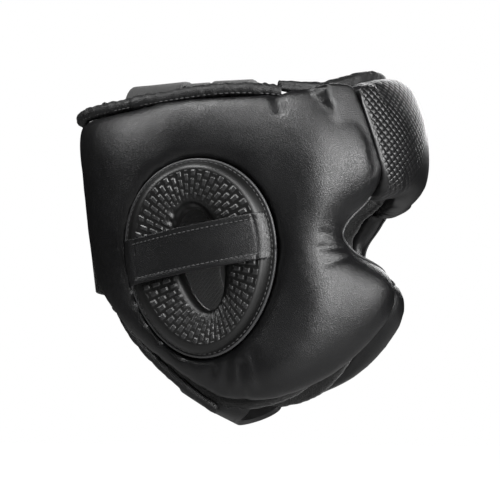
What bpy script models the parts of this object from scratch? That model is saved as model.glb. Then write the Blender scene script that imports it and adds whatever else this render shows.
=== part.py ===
"""Boxing headgear with moulded cheeks, padded ears and straps over the crown.

Metres, +Z up. The wearer looks along +X and has the left hand towards +Y.
The origin is the crown of the head, where it meets the front crown strap.
Angles go round the head from the brow, 0 degrees, to the nape, 180 degrees.
A drop is a depth under the origin, as a share of SHELL_DROP.
"""

import math
from typing import NamedTuple

import bmesh
import bpy
from mathutils import Vector

# Driving sizes of the head inside
HEAD_LENGTH = 0.205
HEAD_WIDTH = 0.158
SHELL_DROP = 0.236

# Walls
LINING_WALL = 0.006
PAD_WALL = 0.034
BROW_WALL = 0.031
NAPE_WALL = 0.009
STRAP_WALL = 0.0025
PAD_GAP = 0.0016
SEAM_GAP = 0.0008
SEAT_GAP = 0.0004
HEM_GAP = 0.0026

# Ear ring and the strap across it
RING_WIDTH = 0.106
RING_HEIGHT = 0.133
RING_WALL = 0.021
RING_TAPER = 0.12
RING_LEAN = 5.6
HOLE_WIDTH = 0.031
HOLE_HEIGHT = 0.071
HOLE_LEAN = 13.0
EAR_X = -0.0190
EAR_DROP = 0.569
HOLE_SHIFT = 0.0015

# The ring's profile: its thickness share at the hole, and how square its sides and its face are
HOLE_WALL = 0.74
RING_SIDES = 0.7
RING_FACE = 0.6

# Share of the way to the ring's outline at which the ear strap is tucked in
STRAP_REACH = 0.93
EAR_STRAP_WIDTH = 0.031
EAR_STRAP_TILT = 9.5
EAR_STRAP_RISE = 0.0055

# Bindings
TOP_BINDING = 0.0094
FRONT_BINDING = 0.0120
LOW_BINDING = 0.0060

# Crown straps, chin strap and nape strap
CROWN_STRAP_WALL = 0.0032
CHIN_STRAP_WALL = 0.0042
CROWN_SEAM = 0.008
NAPE_STRAP_WIDTH = 0.060
NAPE_LOOP = 0.0034

# How far the lining reaches under the side pads, and stands back from the eye notch, as drops
LOW_HEM = 0.016
EYE_SETBACK = 0.008

# Room round the ear's hole in the lining, and the section where its side and nape panels meet
HOLE_ROOM = 0.004
LINING_SEAM = 4

# Where the two top bindings meet, and the front ends of the low one
JUNCTION = 70.5
LOW_END = 114

RIGHT = -1
LEFT = 1


class HeadLevel(NamedTuple):
    """One level of the head: front and rear as shares of its length, side of half its width."""

    drop: float
    front: float
    rear: float
    side: float


class Section(NamedTuple):
    """One upright section of a wall, from its low edge to its high edge."""

    low_angle: float
    low_drop: float
    high_angle: float
    high_drop: float


class ChinEdge(NamedTuple):
    """One long edge of the chin strap: its place at the ends and in the middle."""

    end_x: float
    end_drop: float
    middle_x: float
    middle_drop: float


class CrownStrap(NamedTuple):
    """A strap over the crown: its place and width along X, its height, and room at its ends."""

    name: str
    centre_x: float
    width: float
    rise: float
    room: float


HEAD_LEVELS = (
    HeadLevel(-0.20, 0.36, 0.50, 0.80),
    HeadLevel(0.07, 0.447, 0.563, 0.93),
    HeadLevel(0.25, 0.466, 0.524, 0.99),
    HeadLevel(0.51, 0.461, 0.487, 1.00),
    HeadLevel(0.72, 0.445, 0.456, 0.96),
    HeadLevel(1.02, 0.405, 0.425, 0.85),
    HeadLevel(1.25, 0.370, 0.390, 0.76),
)

# From the nape to the temple
SIDE_SECTIONS = (
    Section(164, 0.632, 169, 0.1085),
    Section(160, 0.638, 165, 0.1095),
    Section(151, 0.690, 154, 0.1135),
    Section(141, 0.748, 143, 0.1150),
    Section(130, 0.808, 131, 0.1150),
    Section(118, 0.870, 119, 0.1110),
    Section(106, 0.930, 106, 0.1060),
    Section(94, 0.980, 94, 0.1010),
    Section(82, 0.986, 82, 0.0995),
    Section(70, 0.970, 71, 0.0990),
    Section(59, 0.942, 61, 0.0920),
)

# From the corner of the eye down to the jaw, as far as the front edge of the cheek
CHEEK_SECTIONS = (
    Section(50, 0.912, 43.5, 0.527),
    Section(43, 0.868, 40, 0.548),
    Section(35, 0.806, 34, 0.562),
    Section(27, 0.745, 27, 0.586),
    Section(23, 0.708, 23, 0.620),
)

# From the corner of the eye up to the top edge, as far as the seam of the brow pad
TEMPLE_SECTIONS = (
    Section(44.5, 0.466, 53, 0.090),
    Section(41.5, 0.444, 50, 0.089),
    Section(39, 0.424, 49, 0.088),
    Section(36.5, 0.408, 48.3, 0.088),
    Section(34.8, 0.402, 48, 0.088),
)

# Half of the brow pad, from the seam to the middle
BROW_SECTIONS = (
    Section(34.2, 0.402, 47.4, 0.088),
    Section(31, 0.397, 43, 0.080),
    Section(23, 0.384, 33, 0.056),
    Section(15, 0.372, 22, 0.037),
    Section(7.5, 0.365, 11, 0.024),
    Section(0, 0.362, 0, 0.018),
)

# Shares of a section's height at which a wall has its rows of points
CHEEK_SHARE = 0.455
TEMPLE_SHARE = 0.555
PAD_ROWS = (0.0, 0.14, 0.50, 0.86, 1.0)
LINING_ROWS = (0.0, 0.34, 0.68, 1.0)
BROW_ROWS = (0.0, 0.10, 0.37, 0.63, 0.90, 1.0)
NAPE_ROWS = (0.0, 0.10, 0.50, 0.90, 1.0)

# Angle, and the drop of the lining's top edge there
TOP_EDGE = (
    (0, 0.0180),
    (20, 0.038),
    (34, 0.062),
    (43, 0.083),
    (51, 0.098),
    (60, 0.094),
    (69, 0.074),
    (91, 0.066),
    (108, 0.076),
    (128, 0.085),
    (150, 0.084),
    (180, 0.073),
)

# Angle, drop of the front binding's middle, its distance outside the head and its thickness share
FRONT_EDGE = (
    (0, -0.0150, 0.0100, 1.0),
    (20, 0.0040, 0.0080, 1.0),
    (34, 0.0280, 0.0055, 1.0),
    (43, 0.0495, 0.0048, 1.0),
    (51, 0.0640, 0.0050, 1.0),
    (60, 0.0630, 0.0065, 0.80),
    (70, 0.0600, 0.0095, 0.50),
    (72, 0.0600, 0.0100, 0.50),
)

CROWN_STRAPS = (
    CrownStrap("crown_strap_rear", -0.0620, 0.0430, 0.0016, 0.0017),
    CrownStrap("crown_strap_middle", -0.0295, 0.0140, -0.0008, 0.0),
    CrownStrap("crown_strap_front", -0.0040, 0.0270, 0.0000, 0.0),
)

CHIN_REAR = ChinEdge(-0.032, 0.900, -0.040, 0.945)
CHIN_FRONT = ChinEdge(0.012, 0.960, -0.003, 1.036)


def clear_scene():
    for found in list(bpy.data.objects):
        bpy.data.objects.remove(found)


def make_collection(name):
    made = bpy.data.collections.new(name)
    bpy.context.scene.collection.children.link(made)
    return made


def make_material(name, colour, roughness):
    made = bpy.data.materials.new(name)
    made.use_nodes = True
    shader = made.node_tree.nodes["Principled BSDF"]
    shader.inputs["Base Color"].default_value = (*colour, 1)
    shader.inputs["Roughness"].default_value = roughness
    shader.inputs["Metallic"].default_value = 0
    return made


def smooth(share):
    share = min(1.0, max(0.0, share))
    return share * share * (3 - 2 * share)


def mix(start, end, share):
    return start + (end - start) * share


def curve_through(rows, key):
    """Every column of a table at a value of its first column, on a smooth curve through its rows."""
    last = len(rows) - 2
    index = max(0, min(last, sum(row[0] <= key for row in rows) - 1))
    before, start, end, after = (
        rows[max(0, min(last + 1, index + step))] for step in (-1, 0, 1, 2)
    )
    span = end[0] - start[0]
    share = (key - start[0]) / span
    ease_start = (2 * share - 3) * share * share + 1
    ease_end = 1 - ease_start
    lean_start = share * (1 - share) ** 2 * span
    lean_end = share * share * (share - 1) * span
    found = []
    for column in range(1, len(start)):
        slope_start = (end[column] - before[column]) / (end[0] - before[0])
        slope_end = (after[column] - start[column]) / (after[0] - start[0])
        found.append(
            ease_start * start[column]
            + ease_end * end[column]
            + lean_start * slope_start
            + lean_end * slope_end
        )
    return found


def head_radii(height):
    """How far the head reaches to the front, the rear and the side at this height."""
    front, rear, side = curve_through(HEAD_LEVELS, -height / SHELL_DROP)
    return front * HEAD_LENGTH, rear * HEAD_LENGTH, side * HEAD_WIDTH / 2


def shell_point(angle, height, out, side=RIGHT):
    """A point that far outside the head, at an angle round it and a height."""
    front, rear, half_width = head_radii(height)
    turn = math.radians(angle)
    reach = front if math.cos(turn) > 0 else rear
    return Vector(
        (
            (reach + out) * math.cos(turn),
            side * (half_width + out) * math.sin(turn),
            height,
        )
    )


def side_angle(x, height, out=0):
    """The angle round the head of the point that has this X."""
    front, rear, _ = head_radii(height)
    return math.degrees(math.acos(x / ((front if x > 0 else rear) + out)))


def side_point(x, height, out, side=RIGHT):
    """The point that far outside the head that has this X, on the side named."""
    return shell_point(side_angle(x, height, out), height, out, side)


def egg_point(turn, width, height, lean, centre_x):
    """A point of an upright egg with its wide end up, in side view."""
    across = width / 2 * math.cos(turn) * (1 + RING_TAPER * math.sin(turn))
    up = height / 2 * math.sin(turn)
    tilt = math.radians(lean)
    x = centre_x + across * math.cos(tilt) - up * math.sin(tilt)
    z = -EAR_DROP * SHELL_DROP + across * math.sin(tilt) + up * math.cos(tilt)
    return x, z


def ear_reach(x, z):
    """1 on the outline of the ear ring, less inside it and more outside."""
    tilt = math.radians(RING_LEAN)
    along = x - EAR_X
    rise = z + EAR_DROP * SHELL_DROP
    across = along * math.cos(tilt) + rise * math.sin(tilt)
    up = (rise * math.cos(tilt) - along * math.sin(tilt)) / (RING_HEIGHT / 2)
    wide = RING_WIDTH / 2 * (1 + RING_TAPER * max(-1.0, min(1.0, up)))
    return math.hypot(across / wide, up)


def pad_wall(point, angle):
    """Thickness of the side pad: thin at the nape, thick at the cheek, sunk round the ear."""
    depth = -point.z / SHELL_DROP
    ridge = mix(68, 88, smooth((depth - 0.72) / 0.28))
    bulge = smooth((ridge + 8 - angle) / 18)
    nape = smooth((angle - 110) / 50)
    wall = mix(mix(0.52, 0.42, nape), 1.0, bulge)
    top = mix(0.90, 1.0, smooth((depth - 0.08) / 0.22))
    sunk = mix(0.66, 1.0, smooth((ear_reach(point.x, point.z) - 0.98) / 0.34))
    return wall * top * sunk


def link(name, data, home, material):
    made = bpy.data.objects.new(name, data)
    made.data.materials.clear()
    made.data.materials.append(material)
    home.objects.link(made)
    return made


def mesh_object(name, grid, home, material):
    data = bpy.data.meshes.new(name)
    grid.to_mesh(data)
    grid.free()
    data.shade_smooth()
    return link(name, data, home, material)


def face_outwards(grid):
    """Turns an open wall's faces away from the upright axis of the head."""
    bmesh.ops.recalc_face_normals(grid, faces=grid.faces)
    outward = sum(
        face.normal.x * face.calc_center_median().x
        + face.normal.y * face.calc_center_median().y
        for face in grid.faces
    )
    if outward < 0:
        bmesh.ops.reverse_faces(grid, faces=grid.faces)


def wall_grid(columns, rows):
    """A flat grid, with each point listed under its column and row."""
    grid = bmesh.new()
    bmesh.ops.create_grid(grid, x_segments=columns - 1, y_segments=rows - 1, size=1)
    places = {}
    for point in grid.verts:
        column = round((point.co.x + 1) / 2 * (columns - 1))
        row = round((point.co.y + 1) / 2 * (rows - 1))
        places[column, row] = point
    return grid, places


def section_point(section, share, out, side):
    angle = mix(section.low_angle, section.high_angle, share)
    height = -SHELL_DROP * mix(section.low_drop, section.high_drop, share)
    return shell_point(angle, height, out, side), angle


def drop_faces(grid, places, cells):
    """Removes the grid's faces at these columns and rows."""
    doomed = []
    for column, row in cells:
        corners = {
            places[column + across, row + up] for across in (0, 1) for up in (0, 1)
        }
        doomed += [face for face in grid.faces if set(face.verts) == corners]
    bmesh.ops.delete(grid, geom=doomed, context="FACES")
    loose = [point for point in grid.verts if not point.link_faces]
    bmesh.ops.delete(grid, geom=loose, context="VERTS")


def add_wall(made, thickness, group=""):
    wall = made.modifiers.new("Wall", "SOLIDIFY")
    wall.thickness = thickness
    wall.offset = 1
    if group:
        wall.vertex_group = group
        wall.thickness_vertex_group = 0


def add_rounding(made):
    rounding = made.modifiers.new("Rounding", "SUBSURF")
    rounding.levels = 1
    rounding.render_levels = 1


def add_other_half(made):
    mirror = made.modifiers.new("Other half", "MIRROR")
    mirror.use_axis = (False, True, False)
    mirror.merge_threshold = 0.0001
    mirror.use_clip = True


def add_cut(made, cutter):
    cut = made.modifiers.new("Ear opening", "BOOLEAN")
    cut.operation = "DIFFERENCE"
    cut.solver = "EXACT"
    cut.object = cutter


def set_padding(made, shares):
    """Stores each point's share of the wall thickness in a vertex group."""
    group = made.vertex_groups.new(name="padding")
    for index, share in enumerate(shares):
        group.add([index], share, "REPLACE")


def ear_cutter(name, width, height, lean, centre_x, side, home):
    """An egg-shaped bar that stands out of the side of the head."""
    near = HEAD_WIDTH / 4
    far = HEAD_WIDTH
    cutter = bmesh.new()
    bmesh.ops.create_circle(cutter, cap_ends=True, segments=36, radius=1)
    for index, point in enumerate(cutter.verts):
        turn = 2 * math.pi * index / len(cutter.verts)
        x, z = egg_point(turn, width, height, lean, centre_x)
        point.co = Vector((x, side * near, z))
    grown = bmesh.ops.extrude_face_region(cutter, geom=list(cutter.faces))
    moved = [item for item in grown["geom"] if isinstance(item, bmesh.types.BMVert)]
    bmesh.ops.translate(cutter, verts=moved, vec=(0, side * (far - near), 0))
    bmesh.ops.recalc_face_normals(cutter, faces=cutter.faces)
    data = bpy.data.meshes.new(name)
    cutter.to_mesh(data)
    cutter.free()
    made = bpy.data.objects.new(name, data)
    made.hide_render = True
    made.display_type = "WIRE"
    home.objects.link(made)
    return made


def side_sections(rear):
    """Low and high halves of every section from the nape to the front edges, as two lists."""
    low = []
    high = []
    for section in rear:
        low.append(
            Section(
                section.low_angle,
                section.low_drop,
                mix(section.low_angle, section.high_angle, CHEEK_SHARE),
                mix(section.low_drop, section.high_drop, CHEEK_SHARE),
            )
        )
        high.append(
            Section(
                mix(section.low_angle, section.high_angle, TEMPLE_SHARE),
                mix(section.low_drop, section.high_drop, TEMPLE_SHARE),
                section.high_angle,
                section.high_drop,
            )
        )
    return low + list(CHEEK_SECTIONS), high + list(TEMPLE_SECTIONS)


def side_pad(name, side, home, cutters, material):
    """The padded wall from the nape to the cheek, with the eye notch in front and the ear opening."""
    half = len(PAD_ROWS)
    eye = len(SIDE_SECTIONS)
    low, high = side_sections(SIDE_SECTIONS)
    last = len(low) - 1
    grid, places = wall_grid(last + 1, 2 * half)
    seat = LINING_WALL + PAD_GAP
    edge_rows = {0: 0.42, 1: 0.90, 2 * half - 2: 0.92, 2 * half - 1: 0.56}
    beside_eye = {half - 2: 0.90, half - 1: 0.40, half: 0.40, half + 1: 0.90}
    padding = {}
    for (column, row), point in places.items():
        section = (high if row >= half else low)[column]
        point.co, angle = section_point(section, PAD_ROWS[row % half], seat, side)
        wall = pad_wall(point.co, angle) * edge_rows.get(row, 1)
        if column >= eye:
            wall *= beside_eye.get(row, 1)
        if column < 2:
            wall *= (0.66, 0.98)[column]
        if column == last:
            wall *= 0.84 if row >= half else 0.45
        elif column == last - 1 and row < half:
            wall *= 0.90
        padding[point.index] = wall
    drop_faces(grid, places, [(column, half - 1) for column in range(eye, last)])
    face_outwards(grid)
    shares = [padding[point.index] for point in grid.verts]
    made = mesh_object(name, grid, home, material)
    set_padding(made, shares)
    add_wall(made, PAD_WALL, "padding")
    add_rounding(made)
    room = 2 * SEAM_GAP
    cutter = ear_cutter(
        name + "_cutter",
        RING_WIDTH + room,
        RING_HEIGHT + room,
        RING_LEAN,
        EAR_X,
        side,
        cutters,
    )
    add_cut(made, cutter)
    return made


def lining_sections():
    """Upright sections of half the lining, from the nape round to the temple."""
    nape = SIDE_SECTIONS[0]
    rear = [Section(180, nape.low_drop + 0.050, 180, nape.high_drop)]
    rear.append(Section(169, nape.low_drop + 0.040, 173, nape.high_drop))
    rear += [s._replace(low_drop=s.low_drop + LOW_HEM) for s in SIDE_SECTIONS[1:]]
    return rear


def top_rise(angle):
    """Height of the lining's top edge, which climbs to the brow."""
    return -SHELL_DROP * curve_through(TOP_EDGE, angle)[0]


def lining_halves():
    """Low and high sections of half the lining, clear of the eye notch, and the notch's column."""
    rear = lining_sections()
    eye = len(rear)
    low, high = side_sections(rear)
    high += BROW_SECTIONS[1:]
    for column in range(eye, len(low)):
        low[column] = low[column]._replace(
            high_drop=low[column].high_drop + EYE_SETBACK
        )
    for column in range(eye, len(high)):
        high[column] = high[column]._replace(
            low_drop=high[column].low_drop - EYE_SETBACK
        )
    return low, high, eye


def seam_edge(section, direction):
    """The section at a panel's edge, turned back from the seam by half the seam's gap."""
    turn = direction * math.degrees(SEAM_GAP / HEAD_WIDTH)
    return section._replace(
        low_angle=section.low_angle + turn, high_angle=section.high_angle + turn
    )


def lining_panel(name, halves, eye, side, home, material):
    """One panel of the lining, from its halves of sections, with a notch from column eye on."""
    half = len(LINING_ROWS)
    rows = half * len(halves)
    last = len(halves[0]) - 1
    grid, places = wall_grid(last + 1, rows)
    for (column, row), point in places.items():
        section = halves[row // half][column]
        point.co, angle = section_point(section, LINING_ROWS[row % half], 0, side)
        if row == rows - 1:
            point.co = shell_point(angle, top_rise(angle), 0, side)
        if section.low_angle in (0, 180):
            point.co.y = 0
    drop_faces(grid, places, [(column, half - 1) for column in range(eye, last)])
    face_outwards(grid)
    return mesh_object(name, grid, home, material)


def nape_lining(home, material):
    """The panel of the lining round the nape."""
    low, high, _ = lining_halves()
    halves = []
    for sections in (low, high):
        panel = sections[: LINING_SEAM + 1]
        panel[-1] = seam_edge(panel[-1], 1)
        halves.append(panel)
    made = lining_panel("nape_lining", halves, LINING_SEAM, RIGHT, home, material)
    add_other_half(made)
    add_wall(made, LINING_WALL)
    return made


def brow_lining(home, material):
    """The panel of the lining under the brow pad."""
    low, high, _ = lining_halves()
    panel = high[len(low) - 1 :]
    panel[0] = seam_edge(panel[0], -1)
    last = len(panel) - 1
    made = lining_panel("brow_lining", [panel], last, RIGHT, home, material)
    add_other_half(made)
    add_wall(made, LINING_WALL)
    return made


def side_lining(name, side, home, cutters, material):
    """The panel of the lining under a side pad, with the eye notch and the hole for the ear."""
    low, high, eye = lining_halves()
    low = low[LINING_SEAM:]
    high = high[LINING_SEAM : LINING_SEAM + len(low)]
    low[0] = seam_edge(low[0], -1)
    high[0] = seam_edge(high[0], -1)
    high[-1] = seam_edge(high[-1], 1)
    made = lining_panel(name, [low, high], eye - LINING_SEAM, side, home, material)
    add_wall(made, LINING_WALL)
    cutter = ear_cutter(
        name + "_cutter",
        HOLE_WIDTH + HOLE_ROOM,
        HOLE_HEIGHT + HOLE_ROOM,
        HOLE_LEAN,
        EAR_X + HOLE_SHIFT,
        side,
        cutters,
    )
    add_cut(made, cutter)
    return made


def brow_pad(home, material):
    """The thick pad over the brow, between the two side pads."""
    columns = len(BROW_SECTIONS)
    rows = len(BROW_ROWS)
    grid, places = wall_grid(columns, rows)
    seat = LINING_WALL + PAD_GAP
    edge_rows = {0: 0.52, 1: 0.94, rows - 2: 0.90, rows - 1: 0.40}
    padding = {}
    for (column, row), point in places.items():
        point.co, _ = section_point(BROW_SECTIONS[column], BROW_ROWS[row], seat, RIGHT)
        if column == columns - 1:
            point.co.y = 0
        seam = 0.90 if column == 0 else 1
        padding[point.index] = edge_rows.get(row, 1) * seam
    face_outwards(grid)
    shares = [padding[point.index] for point in grid.verts]
    made = mesh_object("brow_pad", grid, home, material)
    set_padding(made, shares)
    add_other_half(made)
    add_wall(made, BROW_WALL, "padding")
    add_rounding(made)
    return made


def ring_top(share):
    """Height of the ear ring's face over its seat, from its hole, 0, to its outline, 1."""
    across = 2 * share - 1
    turn = math.copysign(abs(across) ** (1 / RING_SIDES), across)
    crown = math.sqrt(max(0.0, 1 - turn * turn)) ** RING_FACE
    return RING_WALL * mix(HOLE_WALL, 1.0, share) * (0.5 + 0.5 * crown)


def ear_ring(name, side, home, material):
    """The padded ring round the ear, set in the side pad's opening."""
    bpy.ops.mesh.primitive_torus_add(
        major_segments=32, minor_segments=10, major_radius=1, minor_radius=0.5
    )
    made = bpy.context.object
    for found in list(made.users_collection):
        found.objects.unlink(made)
    home.objects.link(made)
    made.name = name
    made.data.name = name
    made.data.materials.append(material)
    ring = bmesh.new()
    ring.from_mesh(made.data)
    seat = LINING_WALL + 2 * SEAT_GAP
    for point in ring.verts:
        turn = math.atan2(point.co.y, point.co.x)
        across = (math.hypot(point.co.x, point.co.y) - 1) / 0.5
        lift = point.co.z / 0.5
        share = 0.5 + 0.5 * math.copysign(abs(across) ** RING_SIDES, across)
        outer = egg_point(turn, RING_WIDTH, RING_HEIGHT, RING_LEAN, EAR_X)
        inner = egg_point(turn, HOLE_WIDTH, HOLE_HEIGHT, HOLE_LEAN, EAR_X + HOLE_SHIFT)
        wall = RING_WALL * mix(HOLE_WALL, 1.0, share)
        out = seat + wall * (0.5 + 0.5 * math.copysign(abs(lift) ** RING_FACE, lift))
        x = mix(inner[0], outer[0], share)
        z = mix(inner[1], outer[1], share)
        point.co = side_point(x, z, out, side)
    if ring.calc_volume(signed=True) < 0:
        bmesh.ops.reverse_faces(ring, faces=ring.faces)
    ring.to_mesh(made.data)
    ring.free()
    made.data.shade_smooth()
    return made


def ring_crossing(offset, direction):
    """How far from the ear's middle a line as tilted as the ear strap meets the ring's outline."""
    near, far = 0.0, RING_WIDTH
    slope = math.tan(math.radians(EAR_STRAP_TILT))
    for _ in range(24):
        along = (near + far) / 2
        z = offset - EAR_DROP * SHELL_DROP + direction * along * slope
        if ear_reach(EAR_X + direction * along, z) < STRAP_REACH:
            near = along
        else:
            far = along
    return near


def ear_strap(name, side, home, material):
    """The flat strap across the ear ring, tucked in at the ring's outline."""
    steps = 14
    rows = 2
    grid, places = wall_grid(steps + 1, rows + 1)
    slope = math.tan(math.radians(EAR_STRAP_TILT))
    crown = max(ring_top(step / rows / steps) for step in range(rows * steps))
    crown_end = 0.7
    for (column, row), point in places.items():
        offset = EAR_STRAP_RISE + EAR_STRAP_WIDTH * (row / rows - 0.5)
        rear = ring_crossing(offset, -1)
        front = ring_crossing(offset, 1)
        along = mix(-rear, front, 0.5 - 0.5 * math.cos(math.pi * column / steps))
        reach = STRAP_REACH * (along / front if along > 0 else -along / rear)
        share = 1 - (1 - reach) / (1 - HOLE_WIDTH / RING_WIDTH)
        lift = crown if share < crown_end else ring_top(share)
        out = LINING_WALL + 2 * SEAT_GAP + lift + 2 * SEAT_GAP
        z = offset - EAR_DROP * SHELL_DROP + along * slope
        point.co = side_point(EAR_X + along, z, out, side)
    face_outwards(grid)
    made = mesh_object(name, grid, home, material)
    add_wall(made, STRAP_WALL)
    return made


def tube(name, points, diameter, home, material, shares=()):
    """A round tube along these points, with its thickness shared out point by point."""
    path = bpy.data.curves.new(name, "CURVE")
    path.dimensions = "3D"
    path.bevel_depth = diameter / 2
    path.bevel_resolution = 2
    path.use_fill_caps = True
    spline = path.splines.new("POLY")
    spline.points.add(len(points) - 1)
    for place, point in zip(spline.points, points):
        place.co = (*point, 1)
    for place, share in zip(spline.points, shares):
        place.radius = share
    return link(name, path, home, material)


def both_sides(points):
    """A path from the right side to the left, mirrored from its right half, which ends in the middle."""
    return points + [Vector((p.x, -p.y, p.z)) for p in reversed(points[:-1])]


def rear_top_binding(home, material):
    """The rolled edge along the top, from temple to temple round the nape."""
    radius = TOP_BINDING / 2
    out = LINING_WALL + 2 * SEAT_GAP + radius
    steps = 22
    half = []
    for step in range(steps + 1):
        angle = mix(JUNCTION + 1, 180, step / steps)
        half.append(shell_point(angle, top_rise(angle) - 0.002, out))
    half[-1].y = 0
    return tube("rear_top_binding", both_sides(half), TOP_BINDING, home, material)


def front_top_binding(home, material):
    """The thicker rolled edge over the brow, narrow where it meets the rear one."""
    steps = 16
    half = []
    shares = []
    for step in range(steps + 1):
        angle = mix(JUNCTION, 0, step / steps)
        drop, out, share = curve_through(FRONT_EDGE, angle)
        half.append(shell_point(angle, -SHELL_DROP * drop, out))
        shares.append(share)
    shares += reversed(shares[:-1])
    return tube(
        "front_top_binding", both_sides(half), FRONT_BINDING, home, material, shares
    )


def low_rise(angle):
    """Height of the lining's low edge behind the cheeks."""
    rows = sorted((s.low_angle, s.low_drop) for s in lining_sections())
    return -SHELL_DROP * curve_through(rows, angle)[0]


def low_binding(home, material):
    """The rolled edge under the lining, from one end of the chin strap to the other."""
    radius = LOW_BINDING / 2
    steps = 16
    half = []
    for step in range(steps + 1):
        angle = mix(LOW_END, 180, step / steps)
        height = low_rise(angle) - radius - HEM_GAP
        half.append(shell_point(angle, height, LINING_WALL / 2))
    half[-1].y = 0
    return tube("low_binding", both_sides(half), LOW_BINDING, home, material)


def nape_edges():
    """The rear edge of a side pad, set back by a seam gap, as one section."""
    nape = SIDE_SECTIONS[0]
    room = 0.7
    return Section(
        nape.low_angle + room, nape.low_drop, nape.high_angle + room, nape.high_drop
    )


def nape_pad(home, material):
    """The thin pad that fills the gap between the side pads at the nape."""
    columns = 3
    rows = len(NAPE_ROWS)
    grid, places = wall_grid(columns, rows)
    edge = nape_edges()
    padding = {}
    for (column, row), point in places.items():
        share = NAPE_ROWS[row]
        angle = mix(
            mix(edge.low_angle, edge.high_angle, share), 180, column / (columns - 1)
        )
        low = edge.low_drop + 0.030 * smooth(column / (columns - 1))
        height = -SHELL_DROP * mix(low, edge.high_drop, share)
        point.co = shell_point(angle, height, LINING_WALL + 2 * SEAT_GAP)
        if column == columns - 1:
            point.co.y = 0
        end_rows = {0: 0.5, rows - 1: 0.6}
        padding[point.index] = end_rows.get(row, 1) * (0.7 if column == 0 else 1)
    face_outwards(grid)
    shares = [padding[point.index] for point in grid.verts]
    made = mesh_object("nape_pad", grid, home, material)
    set_padding(made, shares)
    add_other_half(made)
    add_wall(made, NAPE_WALL, "padding")
    add_rounding(made)
    return made


def nape_strap(home, material):
    """The wide closing strap that lies over the nape pad, between the side pads."""
    steps = 10
    rows = 3
    top = 0.385
    edge = nape_edges()
    out = LINING_WALL + NAPE_WALL + 3 * SEAT_GAP
    grid, places = wall_grid(steps + 1, rows + 1)
    for (column, row), point in places.items():
        height = -SHELL_DROP * top - NAPE_STRAP_WIDTH * (1 - row / rows)
        share = (edge.low_drop + height / SHELL_DROP) / (edge.low_drop - edge.high_drop)
        start = mix(edge.low_angle, edge.high_angle, share)
        angle = mix(start, 360 - start, column / steps)
        point.co = shell_point(angle, height, out)
    face_outwards(grid)
    made = mesh_object("nape_strap", grid, home, material)
    add_wall(made, STRAP_WALL)
    return made


def nape_loop(home, material):
    """The small pull loop that stands up inside the top edge at the nape."""
    foot = top_rise(180) - 0.004
    centre = shell_point(180, foot, -NAPE_LOOP)
    width = 0.008
    height = 0.0155
    steps = 12
    points = []
    for step in range(steps + 1):
        turn = math.pi * step / steps
        rise = height * max(0.0, math.sin(turn)) ** 0.5
        points.append(centre + Vector((0, -width * math.cos(turn), rise)))
    return tube("nape_loop", points, NAPE_LOOP, home, material)


def face_up(grid, upward):
    """Turns an open band's faces up or down."""
    bmesh.ops.recalc_face_normals(grid, faces=grid.faces)
    if sum(face.normal.z for face in grid.faces) * upward < 0:
        bmesh.ops.reverse_faces(grid, faces=grid.faces)


def crown_strap(strap, home, material):
    """A strap that arches over the crown from the lining's top edge to the other side."""
    steps = 16
    rows = 1
    grid, places = wall_grid(steps + 1, rows + 1)
    for (column, row), point in places.items():
        x = strap.centre_x + strap.width * (row / rows - 0.5)
        foot = side_point(x, top_rise(90), 0)
        rim = top_rise(side_angle(x, top_rise(90)))
        turn = math.pi * column / steps
        rise = math.sin(turn) ** 0.8 if 0 < column < steps else 0
        half_span = -foot.y - CROWN_STRAP_WALL - strap.room
        low = rim - CROWN_SEAM
        point.co = Vector((x, -half_span * math.cos(turn), mix(low, strap.rise, rise)))
    face_up(grid, 1)
    made = mesh_object(strap.name, grid, home, material)
    add_wall(made, CROWN_STRAP_WALL)
    return made


def chin_strap(home, material):
    """The strap under the chin, one loop from jaw to jaw, lower in front than behind."""
    steps = 20
    rows = 3
    grid, places = wall_grid(steps + 1, rows + 1)
    for (column, row), point in places.items():
        share = row / rows
        turn = math.pi * column / steps
        hang = math.sin(turn) if 0 < column < steps else 0
        end_x = mix(CHIN_REAR.end_x, CHIN_FRONT.end_x, share)
        jaw = -SHELL_DROP * mix(CHIN_REAR.end_drop, CHIN_FRONT.end_drop, share)
        end = side_point(end_x, jaw, 0)
        rim = low_rise(side_angle(end_x, jaw)) - 4 * SEAT_GAP
        x = mix(end_x, mix(CHIN_REAR.middle_x, CHIN_FRONT.middle_x, share), hang)
        low = -SHELL_DROP * mix(CHIN_REAR.middle_drop, CHIN_FRONT.middle_drop, share)
        point.co = Vector((x, end.y * math.cos(turn), mix(rim, low, hang**0.8)))
    face_up(grid, -1)
    made = mesh_object("chin_strap", grid, home, material)
    add_wall(made, CHIN_STRAP_WALL)
    return made


def build():
    clear_scene()
    home = make_collection("boxing_headgear")
    cutters = make_collection("cutters")
    cutters.hide_render = True
    leather = make_material("leather", (0.022, 0.022, 0.023), 0.42)
    carbon = make_material("carbon_leather", (0.030, 0.030, 0.032), 0.34)
    binding = make_material("binding", (0.035, 0.035, 0.036), 0.55)
    lining = make_material("lining", (0.030, 0.030, 0.031), 0.70)
    webbing = make_material("webbing", (0.020, 0.020, 0.021), 0.80)
    nape_lining(home, lining)
    brow_lining(home, lining)
    brow_pad(home, carbon)
    nape_pad(home, leather)
    for side, word in ((RIGHT, "right"), (LEFT, "left")):
        side_lining("side_lining_" + word, side, home, cutters, lining)
        side_pad("side_pad_" + word, side, home, cutters, leather)
        ear_ring("ear_ring_" + word, side, home, carbon)
        ear_strap("ear_strap_" + word, side, home, leather)
    rear_top_binding(home, binding)
    front_top_binding(home, binding)
    low_binding(home, binding)
    nape_strap(home, webbing)
    nape_loop(home, binding)
    for strap in CROWN_STRAPS:
        crown_strap(strap, home, webbing)
    chin_strap(home, binding)


build()
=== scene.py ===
# %% [markdown]
# Boxing headgear: a lesson in padded leather.
# The real thing is foam pads under black leather, sewn together round the head, with rolled
# edges, embossed panels and webbing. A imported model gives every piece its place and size.
# Here the plain solids are replaced, one at a time, by pieces that swell, crease and shine.

import math

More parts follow.
